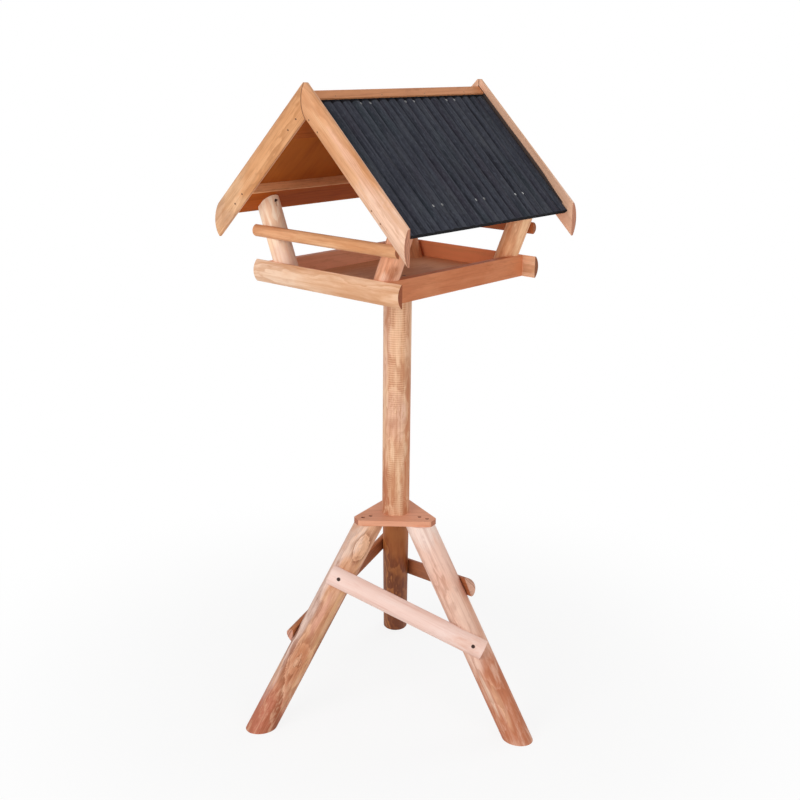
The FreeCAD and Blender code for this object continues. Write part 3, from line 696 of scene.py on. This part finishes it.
POSTS = {
    # front left: the pale wash at the top is painted light against the shade of the roof and
    # bargeboard, and the pale tones are partly painted light
    ("front", "left"): dict(
        tones=("#FFE2C4", "#FFCCA2", "#E6AC80"),
        washes=(((0.145, 0, 0.02), (0.08, 0.06, 0.06), "#FFEAD2", 0.9),
                ((0.03, 0, 0.02), (0.05, 0.05, 0.05), "#F0CAB8", 0.7),
                ((0.115, 0.010, 0.018), (0.03, 0.006, 0.03), "#DCA078", 0.6))),
    ("front", "right"): dict(
        tones=("#F0B492", "#D28A62", "#A05A3C"),
        washes=(((0.066, -0.006, 0.02), (0.018, 0.013, 0.03), "#A8623C", 0.8),
                ((0.045, 0.008, 0.02), (0.02, 0.010, 0.03), "#FBD2B8", 0.6))),
    ("back", "right"): dict(tones=("#FFCEA0", "#F2A874", "#C47244")),
    ("back", "left"): dict(tones=("#D08E60", "#B87248", "#824826")),
}
for (end, side), look in POSTS.items():
    x, y = SIDES[side], ENDS[end]
    lean = Vector((x * math.sin(POST_LEAN), 0, math.cos(POST_LEAN)))
    dress(f"post_{end}_{side}", timber(
        f"post_{end}_{side}_timber",
        grain_frame((x * POST_X, y * POST_Y, FLOOR_TOP), lean, VIEWER),
        **look, pith=(0.003, -0.006), ring=0.0052, wander=0.005, figure=0.9, streaks=1.1,
        clouds=0.9, mottle=0.8, end_tone="#8A5034", end_limit=0.8, seed=53.0 + x * 2 + y))


# Roof

RIDGE = Vector((0, 0, APEX))
DOWN = {side: Vector((sign * math.cos(PITCH), 0, -math.sin(PITCH)))
        for side, sign in SIDES.items()}
OUT = {side: Vector((sign * math.sin(PITCH), 0, math.cos(PITCH)))
       for side, sign in SIDES.items()}

# Each row of purlins: how far down the slope it lies, and its look. The pale wash is the upper
# edge of the left one, which the sun has reached.
PURLINS = {
    "upper": (0.03, dict(tones=("#B4602A", "#A4501E", "#7E340E"))),
    "lower": (0.2, dict(tones=("#B85C1A", "#A64C10", "#823206"),
                        washes=(((0, 0.0645, 0.002), (10, 0.003, 0.03), "#FFC48E", 1.0),))),
}
for side, sign in SIDES.items():
    crests = grain_frame(RIDGE - OUT[side] * CREST_DEPTH, DOWN[side], OUT[side])
    for number in range(1, BOARDS_PER_SLOPE + 1):
        name = f"roof_board_{side}_{number}"
        dress(name, roof_wood(f"{name}_stain", crests, 61.0 + 3 * number + sign))
    for row, (reach, look) in PURLINS.items():
        place = RIDGE + DOWN[side] * reach - OUT[side] * PURLIN_DEPTH
        dress(f"{row}_purlin_{side}", timber(
            f"{row}_purlin_{side}_timber", grain_frame(place, ALONG_RIDGE, OUT[side]),
            **look, pith=(0.01, -0.07), ring=0.007, wander=0.004, figure=0.4, streaks=0.8,
            gloss=0.08, end_tone="#7A4326", seed=71.0 + sign))
    dress(f"ridge_strip_{side}", timber(
        f"ridge_strip_{side}_timber",
        grain_frame(RIDGE - OUT[side] * STRIP_DEPTH, ALONG_RIDGE, OUT[side]),
        ("#D89262", "#C47E54", "#9C5C36"), pith=(0.01, -0.05), ring=0.006, wander=0.002,
        figure=0.5, streaks=1.4, mottle=0.8, end_tone="#8A4E2C", seed=77.0 + sign))

BARGEBOARD_TONES = {
    ("front", "left"): ("#E4AA7A", "#D08E5A", "#A86A38"),
    ("front", "right"): ("#E9B288", "#D69464", "#B47648"),
    ("back", "right"): ("#F0BE96", "#E2A678", "#B87E56"),
    ("back", "left"): ("#E8B48A", "#D89C6C", "#B07646"),
}
BARGEBOARD_WASHES = {
    "left": (((0.33, 0, 0), (0.10, 0.06, 0.06), "#F2C8A0", 0.7),
             ((0.356, 0, 0), (0.03, 0.06, 0.06), "#CDA080", 0.7)),
    "right": (((0.33, 0, 0), (0.10, 0.06, 0.06), "#F8D2BA", 0.85),
              ((0.19, 0.012, 0.01), (0.10, 0.008, 0.02), "#F2BFA6", 0.5),
              ((0.085, 0.005, 0.012), (0.035, 0.006, 0.02), "#F0C298", 0.5),
              ((0.10, -0.010, 0.012), (0.08, 0.012, 0.02), "#DCA070", 0.5)),
}
for (end, side), tones in BARGEBOARD_TONES.items():
    gable = Vector((0, ENDS[end], 0))
    place = RIDGE + gable * BARGEBOARD_PLACE - OUT[side] * BARGEBOARD_DEPTH
    board = grain_frame(place, DOWN[side], gable)
    upward = round(board.to_3x3().col[1].dot(OUT[side]))
    dress(f"bargeboard_{end}_{side}", timber(
        f"bargeboard_{end}_{side}_timber", board,
        tones, pith=(0.006, -0.055), ring=0.0055, wander=0.004, figure=0.8, streaks=1.2,
        clouds=0.8, mottle=0.6, washes=BARGEBOARD_WASHES[side], end_tone="#D29074",
        end_limit=0.5, back_tone="#F3C0A0", seam_shade=True, roof_band=upward,
        seed=81.0 + 2 * SIDES[side] + ENDS[end]))


# Screws, nails, pins and dowels

FIXINGS = (
    (steel("dark_screw_steel", "#40241A", 0.25, 0.6),
     ("brace_screws", "pole_foot_screws", "pole_head_screws", "post_foot_screws",
      "post_head_screws")),
    (steel("zinc_screw_steel", "#8C8C8C", 1.0, 0.42), ("roof_screws",)),
    (steel("nail_steel", "#8A6044", 0.4, 0.55), ("bargeboard_nails", "ridge_pins")),
    (steel("plate_screw_steel", "#6A3222", 0.2, 0.6), ("leg_screws",)),
    (timber("dowel_timber", grain_frame((0, 0, 0), ALONG_RIDGE, UP),
            ("#D8B48C", "#C8A078", "#9A7048"), seed=91.0),
     ("tray_dowels", "floor_dowels", "rail_dowels", "perch_dowels")),
)
for material, fixings in FIXINGS:
    for node in fixings:
        dress(node, material)


# Floor, background and light

FLOOR_REACH = 12
FLOOR_NEAR, FLOOR_FAR = 0.35, 1.3      # the floor fades into the white background between these
FLOOR_VEIL = 0.85                      # how much of the white lies over the floor at the table
PAPER_TONE = (0.86, 0.86, 0.86, 1)
SKY_STRENGTH = 0.45

# Each lamp: its place, the height on the pole's axis that it aims at, its width and its watts
LAMPS = {
    "key": ((0.0, -2.9, 1.7), 0.8, 1.8, 40),
    "fill": ((2.7, -1.0, 1.4), 0.8, 2.0, 22),
    "rim": ((0.6, 2.8, 2.4), 0.9, 1.6, 16),
}


def stage_floor():
    """A pale floor that keeps the table's shadow under a veil of the background's white."""
    mesh = bpy.data.meshes.new("floor")
    far = FLOOR_REACH
    mesh.from_pydata([(-far, -far, 0), (far, -far, 0), (far, far, 0), (-far, far, 0)],
                     [], [(0, 1, 2, 3)])
    floor = add_object("floor", mesh)
    paper = Finish("floor_paper")
    paper.set(Base_Color=PAPER_TONE, Roughness=0.95, Specular_IOR_Level=0.0)
    fade = paper.distance(paper.place(), (0, 0, 0), (1, 1, 1)).step(FLOOR_NEAR, FLOOR_FAR)
    veil = paper.seen_directly() * (FLOOR_VEIL + fade * (1 - FLOOR_VEIL))
    white = paper.node("ShaderNodeEmission", None, {"Color": WHITE, "Strength": 1.0})
    lit = Wave(paper, paper.surface.outputs[0])
    paper.show(paper.node("ShaderNodeMixShader", None, {0: veil, 1: lit, 2: white}))
    mesh.materials.append(paper.material)


def background():
    """Even light from all round, which is plain white where it is seen itself."""
    world = bpy.data.worlds.new("studio")
    world.use_nodes = True
    sky = Nodes(world.node_tree, "ShaderNodeOutputWorld")
    light = sky.node("ShaderNodeBackground", None, {"Color": WHITE, "Strength": SKY_STRENGTH})
    white = sky.node("ShaderNodeBackground", None, {"Color": WHITE, "Strength": 1.0})
    sky.show(sky.node("ShaderNodeMixShader", None, {0: sky.seen_directly(), 1: light, 2: white}))
    bpy.context.scene.world = world


def lamp(name, position, target_height, size, power):
    """A soft square lamp."""
    light = bpy.data.lights.new(name, "AREA")
    light.shape = "SQUARE"
    light.size = size
    light.energy = power
    thing = add_object(name, light)
    thing.location = position
    aim = Vector(UP) * target_height - Vector(position)
    thing.rotation_euler = aim.to_track_quat("-Z", "Y").to_euler()


stage_floor()
background()
for name, settings in LAMPS.items():
    lamp(name, *settings)
camera()
bpy.context.scene.view_settings.view_transform = "Standard"
